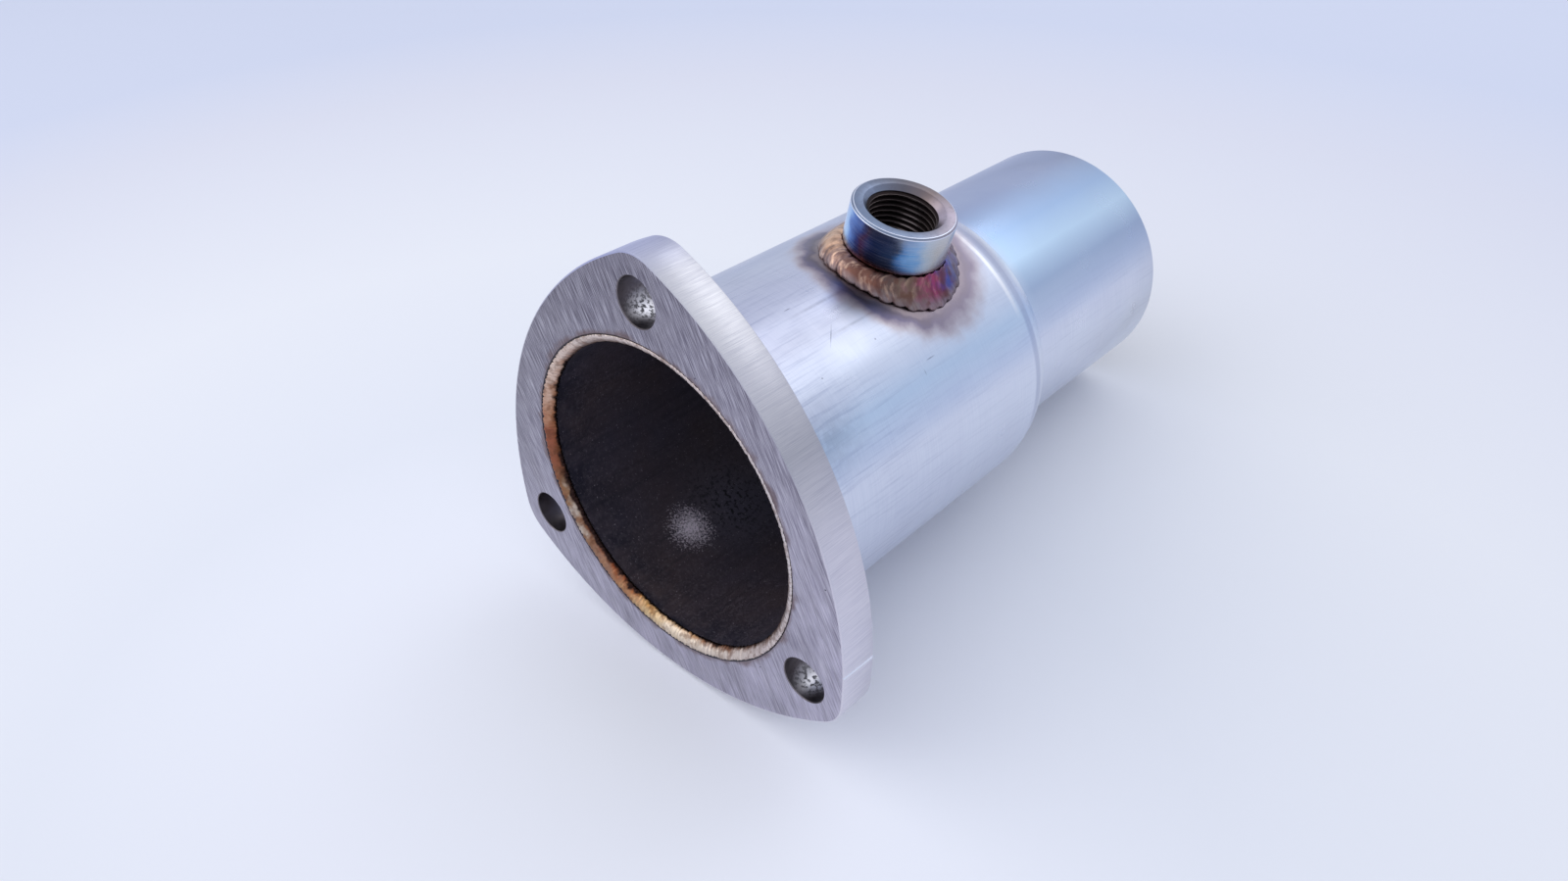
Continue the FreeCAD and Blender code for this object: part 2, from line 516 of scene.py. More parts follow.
def make_bung_bead():
    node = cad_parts["bung_weld"]
    only(node)
    bpy.ops.object.duplicate()
    core = bpy.context.object
    tidy_skin(core)
    apply_modifier(core, "SMOOTH", factor=0.5, iterations=2)
    dice = random.Random(11)
    pieces = [core]
    for index in range(BEAD_SCALES):
        turn = FULL_TURN * (index + dice.uniform(-0.18, 0.18)) / BEAD_SCALES
        top, toe = bung_bead_section(turn)
        path = Vector((-math.sin(turn), math.cos(turn), 0))
        across = (toe - top).normalized()
        outward = path.cross(across).normalized()
        if outward.z < 0:
            outward.negate()
        path = across.cross(outward)
        width = (toe - top).length / 2
        half_sizes = (
            dice.uniform(2.7, 3.6) * MM,
            width * dice.uniform(0.93, 1.03),
            dice.uniform(0.74, 0.9) * MM,
        )
        place = (top + toe) / 2 + outward * dice.uniform(-0.1, 0.15) * MM + ALONG * BUNG_DISTANCE
        drop = scale_of_weld(place, path, across, outward, half_sizes, BEAD_TIP)
        drop.matrix_world = Matrix.Rotation(BUNG_CLOCK, 4, "Y") @ drop.matrix_world
        pieces.append(drop)
    return cooled(pieces, "bung_bead", BEAD_GRAIN, rounds=16)


def make_flange_bead():
    root = Vector(FLANGE_BEAD_ROOT)
    toe = Vector(FLANGE_BEAD_TOE)
    middle = (root + toe) / 2 + FLANGE_BEAD_SAG
    corner = [(BORE_RADIUS, TUBE_SETBACK), (BORE_RADIUS, BORE_CHAMFER)]
    outline = [tuple(toe), tuple(middle), tuple(root)] + corner
    pieces = [turned("flange_bead", outline, ALONG, TUBE_STEPS)]
    dice = random.Random(5)
    for index in range(FLANGE_BEAD_SCALES):
        turn = FULL_TURN * (index + dice.uniform(-0.2, 0.2)) / FLANGE_BEAD_SCALES
        around = Vector((math.cos(turn), 0, math.sin(turn)))
        path = Vector((-math.sin(turn), 0, math.cos(turn)))
        across = (around * (toe.x - root.x) + ALONG * (toe.y - root.y)).normalized()
        outward = (around * (toe.y - root.y) - ALONG * (toe.x - root.x)).normalized()
        path = across.cross(outward)
        place = around * (root.x + toe.x) / 2 + ALONG * (root.y + toe.y) / 2 + outward * FLANGE_BEAD_RISE
        half_sizes = (
            dice.uniform(1.0, 1.4) * MM,
            (toe - root).length / 2 * dice.uniform(1.0, 1.16),
            dice.uniform(0.5, 0.62) * MM,
        )
        pieces.append(scale_of_weld(place, path, across, outward, half_sizes, FLANGE_BEAD_TIP))
    return cooled(pieces, "flange_bead", FLANGE_BEAD_GRAIN, rounds=1)


# Node sheets

def srgb(red, green, blue):
    """The linear colour of a screen colour given from 0 to 255."""
    levels = [level / 255 for level in (red, green, blue)]
    linear = [level / 12.92 if level <= 0.04045 else ((level + 0.055) / 1.055) ** 2.4 for level in levels]
    return (*linear, 1.0)


def filled(tree, node, values):
    """Sets a node's inputs, and links those whose value is another node's output."""
    for name, value in values.items():
        if isinstance(value, bpy.types.NodeSocket):
            tree.links.new(value, node.inputs[name])
        else:
            node.inputs[name].default_value = value
    return node


def put(tree, kind, values=None, **settings):
    """Adds a node with its settings, and with its inputs set or linked."""
    node = tree.nodes.new(kind)
    for key, value in settings.items():
        setattr(node, key, value)
    return filled(tree, node, values or {})


def sums(tree, operation, *values):
    return put(tree, "ShaderNodeMath", dict(enumerate(values)), operation=operation).outputs[0]


def product(tree, *values):
    return sums(tree, "MULTIPLY", *values)


def off(tree, value, middle):
    """How far a value lies from a middle, either way."""
    return sums(tree, "ABSOLUTE", sums(tree, "SUBTRACT", value, middle))


def arm_length(tree, across, along):
    return sums(tree, "SQRT", sums(tree, "ADD", product(tree, across, across), product(tree, along, along)))


def distance_to(tree, place, spot):
    return put(tree, "ShaderNodeVectorMath", {0: place, 1: spot}, operation="DISTANCE").outputs["Value"]


def split(tree, vector):
    return put(tree, "ShaderNodeSeparateXYZ", {"Vector": vector}).outputs


def mix(tree, share, under, over, mode="MIX"):
    values = {0: share, 6: under, 7: over}
    return put(tree, "ShaderNodeMix", values, data_type="RGBA", blend_type=mode).outputs[2]


def tinted(tree, under, colour, mask, share=None):
    """Lays a screen colour over a finish by a mask, and by a share of it where one is given."""
    if share is not None:
        mask = product(tree, mask, share)
    return mix(tree, mask, under, srgb(*colour))


def ramp(tree, share, stops):
    """A colour ramp whose stops are (place, colour), in order."""
    node = put(tree, "ShaderNodeValToRGB", {"Fac": share})
    band = node.color_ramp
    for extra in range(len(stops) - 2):
        band.elements.new(0.5)
    for element, (place, colour) in zip(band.elements, stops):
        element.position = place
        element.color = colour
    return node.outputs["Color"]


def spread(tree, value, low, high, to_low=0.0, to_high=1.0):
    values = {"Value": value, "From Min": low, "From Max": high, "To Min": to_low, "To Max": to_high}
    return put(tree, "ShaderNodeMapRange", values, clamp=True).outputs["Result"]


def turn_of(tree, across, along):
    """The turn of an arm given by its two parts: 0 and 1 against the second part's axis, 0.5 along it."""
    return spread(tree, sums(tree, "ARCTAN2", across, along), -math.pi, math.pi)


def placed(tree, vector, place=(0, 0, 0), turn=(0, 0, 0), sizes=(1, 1, 1)):
    """A pattern's own coordinates, in units of its feature sizes in metres."""
    values = {"Vector": vector, "Location": place, "Rotation": turn, "Scale": sizes}
    return put(tree, "ShaderNodeMapping", values, vector_type="TEXTURE").outputs["Vector"]


def new_group(name, takes, gives):
    """A shader group with named inputs and outputs, ready for its nodes."""
    group = bpy.data.node_groups.new(name, "ShaderNodeTree")
    for title, kind, value in takes:
        socket = group.interface.new_socket(name=title, in_out="INPUT", socket_type=kind)
        if value is not None:
            socket.default_value = value
    for title, kind in gives:
        group.interface.new_socket(name=title, in_out="OUTPUT", socket_type=kind)
    start = group.nodes.new("NodeGroupInput").outputs
    end = group.nodes.new("NodeGroupOutput").inputs
    return group, start, end


VALUE = "NodeSocketFloat"
VECTOR = "NodeSocketVector"
COLOUR = "NodeSocketColor"


def grouped(tree, group, **values):
    node = tree.nodes.new("ShaderNodeGroup")
    node.node_tree = group
    return filled(tree, node, values).outputs


def streaks_group():
    """Marks of a belt or a tool: noise that is long one way, cut between two levels."""
    group, take, give = new_group(
        "streaks", [("Vector", VECTOR, None), ("Low", VALUE, 0.45), ("High", VALUE, 0.7)], [("Mask", VALUE)]
    )
    values = {"Vector": take["Vector"], "Scale": 1.0, "Detail": 3.0, "Roughness": 0.6}
    noise = put(group, "ShaderNodeTexNoise", values)
    mask = spread(group, noise.outputs["Fac"], take["Low"], take["High"])
    group.links.new(mask, give["Mask"])
    return group


def pits_group():
    """Small round pits, only in some cells of the pattern."""
    group, take, give = new_group(
        "pits", [("Vector", VECTOR, None), ("Size", VALUE, 0.2), ("Share", VALUE, 0.2)], [("Mask", VALUE)]
    )
    cells = put(group, "ShaderNodeTexVoronoi", {"Vector": take["Vector"], "Scale": 1.0})
    chance = put(group, "ShaderNodeSeparateColor", {"Color": cells.outputs["Color"]}).outputs[0]
    near = sums(group, "SUBTRACT", 1.0, sums(group, "DIVIDE", cells.outputs["Distance"], take["Size"]))
    dot = product(group, spread(group, near, 0.0, 0.4), sums(group, "LESS_THAN", chance, take["Share"]))
    group.links.new(dot, give["Mask"])
    return group


def bung_place_group():
    """A point's radius, height and turn about the bung's axis, the turn from 0 to 1 round from -X."""
    group, take, give = new_group(
        "bung_place", [("Vector", VECTOR, None)], [("Radius", VALUE), ("Height", VALUE), ("Turn", VALUE)]
    )
    upright = put(
        group, "ShaderNodeMapping",
        {"Vector": take["Vector"], "Rotation": (0, -BUNG_CLOCK, 0), "Location": (0, -BUNG_DISTANCE, 0)},
        vector_type="POINT",
    )
    parts = split(group, upright.outputs["Vector"])
    group.links.new(arm_length(group, parts["X"], parts["Y"]), give["Radius"])
    group.links.new(parts["Z"], give["Height"])
    group.links.new(turn_of(group, parts["Y"], parts["X"]), give["Turn"])
    return group


def heat_tint_group():
    """The colours that heat leaves on steel, from the weld at 0 to clean metal at 1."""
    group, take, give = new_group(
        "heat_tint", [("Distance", VALUE, 0.5)], [("Color", COLOUR), ("Cover", VALUE)]
    )
    colour = ramp(group, take["Distance"], [
        (0.0, srgb(112, 100, 104)), (0.08, srgb(130, 118, 120)), (0.15, srgb(132, 120, 124)),
        (0.25, srgb(100, 92, 104)), (0.40, srgb(110, 104, 126)), (0.54, srgb(142, 124, 132)),
        (0.68, srgb(172, 152, 148)), (0.84, srgb(190, 182, 188)), (1.0, srgb(206, 208, 222)),
    ])
    group.links.new(colour, give["Color"])
    group.links.new(spread(group, take["Distance"], 0.4, 1.0, 1.0, 0.0), give["Cover"])
    return group


STREAKS = streaks_group()
PITS = pits_group()
BUNG_PLACE = bung_place_group()
HEAT_TINT = heat_tint_group()


def streaks(tree, vector, low, high, sizes, **lie):
    """Marks of these sizes in millimetres, which fade in between two levels of their noise."""
    marks = placed(tree, vector, sizes=[size * MM for size in sizes], **lie)
    return grouped(tree, STREAKS, Vector=marks, Low=low, High=high)["Mask"]


def new_finish(name, **shader_values):
    """A metal finish with its shader; returns the material, its tree, shader and object coordinates."""
    material = bpy.data.materials.new(name)
    material.use_nodes = True
    tree = material.node_tree
    shader = tree.nodes["Principled BSDF"]
    shader.inputs["Metallic"].default_value = 1.0
    for key, value in shader_values.items():
        shader.inputs[key.replace("_", " ")].default_value = value
    place = tree.nodes.new("ShaderNodeTexCoord").outputs["Object"]
    return material, tree, shader, place


def feed(tree, shader, colour=None, roughness=None, height=None, depth=0.05 * MM, strength=1.0):
    if colour:
        tree.links.new(colour, shader.inputs["Base Color"])
    if roughness:
        tree.links.new(roughness, shader.inputs["Roughness"])
    if height:
        bump = put(tree, "ShaderNodeBump", {"Height": height, "Distance": depth, "Strength": strength})
        tree.links.new(bump.outputs["Normal"], shader.inputs["Normal"])


def cloud(tree, place, size, detail=3.0):
    values = {"Vector": placed(tree, place, sizes=[size] * 3), "Scale": 1.0, "Detail": detail}
    return put(tree, "ShaderNodeTexNoise", values).outputs["Fac"]


def drift(tree, place, size, reach, detail=3.0):
    """A cloud that wanders either way by up to a reach."""
    return spread(tree, cloud(tree, place, size, detail), 0.3, 0.7, -reach, reach)


# Marks on the tube and one patch of painted shade: clock angle in degrees and distance in millimetres,
# their half widths, the mark's lean in millimetres per radian and its strength
TUBE_MARKS_AND_PAINTED_SHADE = [
    (17.7, 43.0, 0.9, 13.0, 0, 0.35),
    (17.9, 50.5, 1.0, 4.5, 0, 0.6),
    (29.7, 45.0, 0.8, 10.0, 0, 0.3),
    (29.6, 53.0, 1.1, 5.0, 0, 0.85),
    (29.6, 37.2, 3.6, 0.18, -44.0, 1.0),
    (14.3, 34.1, 0.3, 1.2, 0, 0.9),
    (37.7, 46.9, 0.4, 0.3, 0, 1.0),
    (39.7, 27.4, 0.4, 0.3, 0, 1.0),
    (52.0, 58.5, 0.3, 1.8, 0, 0.7),
    (55.0, 55.0, 1.4, 0.2, 0, 0.6),
    # Painted shade: this wide patch darkens the tube near the flange, where the flange's dark back is
    # reflected.
    (56.0, 19.0, 15.0, 15.0, 0, 0.3),
]


def tube_marks_and_painted_shade(tree, place):
    """Dark marks left on the tube by handling, strongest at their middles, and a wide patch of painted
    shade near the flange.
    """
    parts = split(tree, place)
    clock = sums(tree, "ARCTAN2", parts["X"], parts["Z"])
    cover = 0.0
    for angle, distance, half_angle, half_length, lean_rate, level in TUBE_MARKS_AND_PAINTED_SHADE:
        aside = sums(tree, "SUBTRACT", clock, math.radians(angle))
        line = sums(tree, "MULTIPLY_ADD", aside, lean_rate * MM, distance * MM)
        aside = sums(tree, "ABSOLUTE", aside)
        away = off(tree, parts["Y"], line)
        across = spread(tree, aside, math.radians(half_angle), 0.0)
        along = spread(tree, away, half_length * MM, half_length * MM * 0.2, 0.0, level)
        cover = sums(tree, "MAXIMUM", cover, product(tree, across, along))
    return product(tree, cover, spread(tree, cloud(tree, place, 2 * MM), 0.3, 0.55, 0.45, 1.0))


def tube_painted_shade(tree, place, steel):
    """Painted shade on the tube's upper left and a painted bluer reflection on its upper right, set by the
    clock place round the tube.
    """
    parts = split(tree, place)
    clock = turn_of(tree, parts["X"], parts["Z"])
    painted_shade = ramp(tree, clock, turn_stops([
        (-60, (228, 230, 234)), (-20, (226, 227, 230)), (8, (232, 230, 236)), (26, (224, 221, 224)),
        (40, (246, 246, 246)), (48, (242, 246, 250)), (57, (220, 236, 246)), (74, (255, 255, 255)),
    ]))
    return mix(tree, 1.0, steel, painted_shade, "MULTIPLY")


# Middle of the outlet's painted reflection bands, as a turn from 0 to 1
OUTLET_PAINTED_REFLECTION_MIDDLE = 0.51


def outlet_painted_reflection(tree, place, steel):
    """Painted reflection and shade on the outlet: blue and grey bands along it, set by the clock place
    round it.
    """
    parts = split(tree, place)
    clock = turn_of(tree, parts["X"], parts["Z"])
    painted_reflection = ramp(tree, clock, turn_stops([
        (-60, (204, 210, 224)), (-25, (168, 178, 204)), (2, (160, 172, 202)), (12, (164, 183, 213)),
        (24, (168, 193, 224)), (38, (196, 220, 240)), (52, (166, 184, 210)), (68, (196, 203, 220)),
    ]))
    start = SHOULDER_START + 8 * MM
    share = spread(tree, parts["Y"], start, start + 9 * MM)
    side = spread(tree, off(tree, clock, OUTLET_PAINTED_REFLECTION_MIDDLE), 0.19, 0.14)
    return mix(tree, product(tree, share, side), steel, painted_reflection)


# Painted highlights round the shoulder: distance along the tube, half width and strength
SHOULDER_GLINTS = [(93.4 * MM, 0.9 * MM, 0.6), (102.5 * MM, 4.2 * MM, 1.0)]
SHOULDER_PAINTED_SHADE_PLACE = 96.2 * MM


def shoulder_glints(tree, place, steel):
    """Two painted highlights round the shoulder's upper right, with a band of painted shade between them.
    """
    parts = split(tree, place)
    clock = sums(tree, "ARCTAN2", parts["X"], parts["Z"])
    lit = spread(tree, off(tree, clock, math.radians(34)), 0.42, 0.2)
    cover = 0.0
    for distance, half_length, level in SHOULDER_GLINTS:
        away = off(tree, parts["Y"], distance)
        cover = sums(tree, "MAXIMUM", cover, spread(tree, away, half_length, half_length * 0.4, 0.0, level))
    # Painted shade: a darker band between the two painted highlights.
    painted_shade_band = spread(tree, off(tree, parts["Y"], SHOULDER_PAINTED_SHADE_PLACE), 1.7 * MM, 0.8 * MM)
    wide = spread(tree, off(tree, clock, math.radians(55)), 1.0, 0.6, 0.0, 0.4)
    steel = tinted(tree, steel, (140, 150, 182), painted_shade_band, wide)
    return tinted(tree, steel, (255, 255, 255), cover, lit)


HALO_START = 17.0 * MM
HALO_END = 26.0 * MM


def satin_tube_finish():
    """Brushed tube: fine marks round it, long faint lines along it and the bung's heat halo, with painted
    shade, reflections and highlights laid over them.
    """
    material, tree, shader, place = new_finish("satin_tube", Roughness=0.3)
    rings = streaks(tree, place, 0.4, 0.75, sizes=(12, 0.25, 12))
    lines = streaks(tree, place, 0.5, 0.75, sizes=(0.7, 16, 0.7))
    steel = mix(tree, cloud(tree, place, 30 * MM), srgb(206, 210, 226), srgb(222, 229, 242))
    steel = tinted(tree, steel, (238, 242, 250), rings, 0.3)
    along = split(tree, place)["Y"]
    # Painted shade: the long lines grow darker towards the flange, where the flange's dark back is
    # reflected in the tube.
    wear_and_painted_shade = product(tree, lines, spread(tree, along, 60 * MM, 12 * MM, 0.15, 0.5))
    steel = tinted(tree, steel, (146, 156, 184), wear_and_painted_shade)
    steel = tube_painted_shade(tree, place, steel)
    steel = outlet_painted_reflection(tree, place, steel)
    steel = shoulder_glints(tree, place, steel)
    steel = tinted(tree, steel, (70, 72, 92), tube_marks_and_painted_shade(tree, place))
    spot = grouped(tree, BUNG_PLACE, Vector=place)
    wander = drift(tree, place, 7 * MM, 1.3 * MM, 4.0)
    distance = spread(tree, sums(tree, "ADD", spot["Radius"], wander), HALO_START, HALO_END)
    heat = grouped(tree, HEAT_TINT, Distance=distance)
    warm = mix(tree, spread(tree, spot["Turn"], 0.36, 0.5, 0.0, 0.55), heat["Color"], srgb(168, 156, 166))
    above = spread(tree, spot["Height"], 20 * MM, 30 * MM)
    colour = mix(tree, product(tree, heat["Cover"], above), steel, warm)
    rough = spread(tree, cloud(tree, place, 12 * MM), 0.3, 0.7, 0.26, 0.38)
    feed(tree, shader, colour, rough, rings, 0.01 * MM, 0.3)
    return material


PAINTED_GLINT_PATCH = (-20.0 * MM, 26.6 * MM, -33.9 * MM)
MOTTLED_PATCH = (-20.0 * MM, 42.0 * MM, -34.2 * MM)


def sooty_bore_finish():
    """Burnt bore: brown-black soot with faint lines and a painted highlight of bright flecks."""
    material, tree, shader, place = new_finish("sooty_bore", Metallic=0.2)
    lines = streaks(tree, place, 0.45, 0.75, sizes=(1.2, 60, 1.2))
    soot = mix(tree, cloud(tree, place, 22 * MM), srgb(56, 58, 78), srgb(82, 66, 62))
    soot = tinted(tree, soot, (34, 33, 42), lines, 0.5)
    deep = split(tree, place)["Y"]
    burn = spread(tree, cloud(tree, place, 7 * MM), 0.35, 0.6)
    scorch = product(tree, spread(tree, deep, 18 * MM, 3 * MM), burn)
    soot = tinted(tree, soot, (24, 26, 42), scorch, 0.8)
    flecks = streaks(tree, place, 0.52, 0.6, sizes=[0.9] * 3)
    colour = tinted(tree, soot, (120, 112, 118), flecks, 0.12)
    mottled = near_spots(tree, place, [MOTTLED_PATCH], 19.0 * MM)
    colour = tinted(tree, colour, (88, 86, 102), mottled, 0.6)
    specks = streaks(tree, place, 0.53, 0.6, sizes=[1.1] * 3)
    colour = tinted(tree, colour, (20, 20, 28), specks, mottled)
    # Painted highlight: a bright speckled glint on the bore wall.
    apart = distance_to(tree, place, PAINTED_GLINT_PATCH)
    near = product(tree, spread(tree, apart, 9.0 * MM, 0.5 * MM), 0.47)
    painted_glint = spread(tree, sums(tree, "ADD", near, cloud(tree, place, 0.5 * MM, 5.0)), 0.64, 0.98, 0.0, 0.9)
    colour = tinted(tree, colour, (240, 228, 240), painted_glint)
    feed(tree, shader, colour, spread(tree, flecks, 0, 1, 0.42, 0.6), flecks, 0.03 * MM, 0.5)
    return material


def sanded_face_finish():
    """Flange face: coarse belt marks running steeply down it, light and dark, with small pits."""
    material, tree, shader, place = new_finish("sanded_face")
    belt = math.radians(64)
    fine = streaks(tree, place, 0.42, 0.66, turn=(0, belt, 0), sizes=(7, 6, 0.22))
    dark = streaks(tree, place, 0.48, 0.68, turn=(0, belt, 0), sizes=(9, 6, 0.5))
    broad = streaks(tree, place, 0.45, 0.65, turn=(0, belt, 0), sizes=(26, 6, 6))
    slope = placed(tree, place, turn=(0, math.radians(60), 0), sizes=(100 * MM, 1, 1))
    slope = split(tree, slope)["X"]
    steel = mix(tree, spread(tree, slope, -0.5, 0.4), srgb(114, 109, 120), srgb(190, 185, 202))
    steel = tinted(tree, steel, (104, 98, 108), broad, 0.4)
    blotch = spread(tree, cloud(tree, place, 11 * MM), 0.42, 0.66, 0.0, 0.3)
    steel = tinted(tree, steel, (98, 94, 112), blotch)
    steel = tinted(tree, steel, (226, 222, 232), fine, 0.6)
    steel = tinted(tree, steel, (100, 94, 110), dark, 0.5)
    parts = split(tree, place)
    wander = drift(tree, place, 5 * MM, 1.2 * MM)
    reach = sums(tree, "ADD", arm_length(tree, parts["X"], parts["Z"]), wander)
    steel = tinted(tree, steel, (112, 88, 84), spread(tree, reach, 43.4 * MM, 41.9 * MM, 0.0, 0.7))
    cells = placed(tree, place, sizes=[5 * MM] * 3)
    pits = grouped(tree, PITS, Vector=cells, Size=0.06, Share=0.3)["Mask"]
    steel = tinted(tree, steel, (60, 58, 70), pits)
    height = sums(tree, "SUBTRACT", sums(tree, "SUBTRACT", fine, dark), product(tree, pits, 3.0))
    feed(tree, shader, steel, spread(tree, fine, 0, 1, 0.5, 0.36), height, 0.02 * MM, 0.7)
    return material


def ground_rim_finish():
    """Flange rim: close fine marks straight across its thickness, under painted light and shade that change
    round the flange.
    """
    material, tree, shader, place = new_finish("ground_rim")
    cross = streaks(tree, place, 0.4, 0.7, sizes=(0.14, 9, 0.14))
    steel = mix(tree, cloud(tree, place, 14 * MM), srgb(224, 222, 225), srgb(240, 238, 237))
    steel = tinted(tree, steel, (172, 173, 188), cross, 0.4)
    parts = split(tree, place)
    angle = turn_of(tree, parts["Z"], parts["X"])
    # Painted light and shade: the rim is made lighter or darker by its angle round the flange, as its
    # reflections change.
    wear_and_painted_shade = ramp(tree, angle, turn_stops([
        (-60, (250, 248, 252)), (-10, (248, 246, 254)), (14, (240, 238, 246)), (38, (197, 198, 204)),
        (56, (228, 228, 232)), (70, (240, 240, 240)), (82, (236, 236, 238)), (91, (206, 210, 236)),
        (100, (206, 210, 244)), (140, (226, 226, 232)),
    ]))
    steel = mix(tree, 1.0, steel, wear_and_painted_shade, "MULTIPLY")
    feed(tree, shader, steel, spread(tree, cross, 0, 1, 0.34, 0.46), cross, 0.02 * MM, 0.6)
    return material


def near_spots(tree, place, spots, reach):
    """1 at any of the spots, fading to 0 at a reach from them."""
    cover = 0.0
    for spot in spots:
        apart = distance_to(tree, place, spot)
        cover = sums(tree, "MAXIMUM", cover, spread(tree, apart, reach, reach * 0.2))
    return cover


# Middles of the painted highlights and the painted shade on two bolt hole walls
WALL_GLINTS = [(-3.4 * MM, 5.2 * MM, 47.2 * MM), (42.9 * MM, 4.8 * MM, -31.4 * MM)]
WALL_PAINTED_SHADES = [(0.4 * MM, 1.6 * MM, 46.0 * MM), (47.6 * MM, 1.4 * MM, -31.0 * MM)]


def drilled_wall_finish():
    """Bolt hole walls: grey-brown, with a painted pitted highlight and a patch of painted shade in two of
    them.
    """
    material, tree, shader, place = new_finish("drilled_wall")
    specks = streaks(tree, place, 0.5, 0.56, sizes=[0.8] * 3)
    steel = mix(tree, cloud(tree, place, 4 * MM), srgb(92, 84, 86), srgb(140, 134, 138))
    glint = near_spots(tree, place, WALL_GLINTS, 5.0 * MM)
    steel = tinted(tree, steel, (226, 224, 228), glint)
    painted_shade = near_spots(tree, place, WALL_PAINTED_SHADES, 4.2 * MM)
    steel = tinted(tree, steel, (48, 44, 50), painted_shade, 0.85)
    dots = product(tree, specks, near_spots(tree, place, WALL_GLINTS, 6.5 * MM))
    steel = tinted(tree, steel, (34, 32, 38), dots, 0.8)
    feed(tree, shader, steel, spread(tree, dots, 0, 1, 0.35, 0.6), dots, 0.04 * MM, 0.5)
    return material


def turn_stops(stops):
    """Ramp stops from angles in degrees, -180 to 180, and screen colours."""
    return [((angle + 180) / 360, srgb(*colour)) for angle, colour in stops]


def polished_bung_finish():
    """Bung side: polished steel with blue and straw heat bands that change round it, and a painted
    light-blue highlight at the left.
    """
    material, tree, shader, place = new_finish("polished_bung")
    spot = grouped(tree, BUNG_PLACE, Vector=place)
    wander = drift(tree, place, 6 * MM, 0.02)
    turn = sums(tree, "ADD", spot["Turn"], wander)
    # The pale sky-blue stops near -142 and -126 degrees are a painted highlight; the other stops are heat
    # colours.
    band = ramp(tree, turn, turn_stops([
        (-180, (190, 188, 205)), (-142, (178, 200, 236)), (-126, (166, 206, 246)), (-114, (88, 130, 200)),
        (-100, (42, 58, 118)), (-93, (68, 36, 68)), (-85, (38, 44, 80)), (-78, (32, 48, 86)),
        (-57, (44, 62, 90)), (-48, (72, 120, 170)), (-36, (110, 158, 202)), (-22, (170, 184, 196)),
        (-6, (182, 180, 178)), (26, (184, 182, 192)), (70, (170, 158, 150)), (120, (150, 140, 160)),
        (180, (190, 188, 205)),
    ]))
    side = spread(tree, turn, 0.3, 0.4, 0.1, 0.5)
    high = product(tree, spread(tree, spot["Height"], 50.9 * MM, 54.7 * MM), side)
    band = tinted(tree, band, (200, 204, 216), high)
    low = spread(tree, spot["Height"], 46.4 * MM, 45.0 * MM)
    band = tinted(tree, band, (120, 84, 78), low, 0.8)
    rings = streaks(tree, place, 0.45, 0.75, turn=(0, BUNG_CLOCK, 0), sizes=(7, 7, 0.12))
    pale = spread(tree, turn, 0.33, 0.4, 0.12, 0.4)
    band = tinted(tree, band, (224, 218, 214), rings, pale)
    feed(tree, shader, band, spread(tree, rings, 0, 1, 0.2, 0.32), rings, 0.008 * MM, 0.5)
    return material


def bung_top_finish():
    """Bung's end face: turned steel, blue-grey in front and straw-brown at the back."""
    material, tree, shader, place = new_finish("bung_top")
    spot = grouped(tree, BUNG_PLACE, Vector=place)
    band = ramp(tree, spot["Turn"], turn_stops([
        (-180, (128, 138, 160)), (-110, (112, 126, 150)), (-40, (128, 140, 162)), (0, (150, 144, 154)),
        (40, (180, 168, 180)), (90, (128, 114, 112)), (130, (104, 102, 110)), (180, (120, 130, 150)),
    ]))
    specks = streaks(tree, place, 0.5, 0.75, sizes=[1.2] * 3)
    band = tinted(tree, band, (100, 96, 110), specks, 0.35)
    feed(tree, shader, band, spread(tree, specks, 0, 1, 0.28, 0.42), specks, 0.01 * MM, 0.5)
    return material


def painted_highlight_finish():
    """Painted highlights on the bung's top corner and mouth edge, and on the lit side of the mark in the
    rim.
    """
    return new_finish("painted_highlight_edge", Roughness=0.22, Base_Color=srgb(222, 226, 238))[0]


def cut_thread_finish():
    """Thread: dark oily brown with a painted highlight on the crests."""
    material, tree, shader, place = new_finish("cut_thread")
    spot = grouped(tree, BUNG_PLACE, Vector=place)
    painted_crest_highlight = spread(tree, spot["Radius"], THREAD_MINOR + 0.12 * MM, THREAD_MINOR)
    steel = mix(tree, cloud(tree, place, 4 * MM), srgb(34, 30, 34), srgb(56, 46, 44))
    steel = tinted(tree, steel, (150, 138, 134), painted_crest_highlight, 0.6)
    feed(tree, shader, steel, spread(tree, painted_crest_highlight, 0, 1, 0.5, 0.3))
    return material


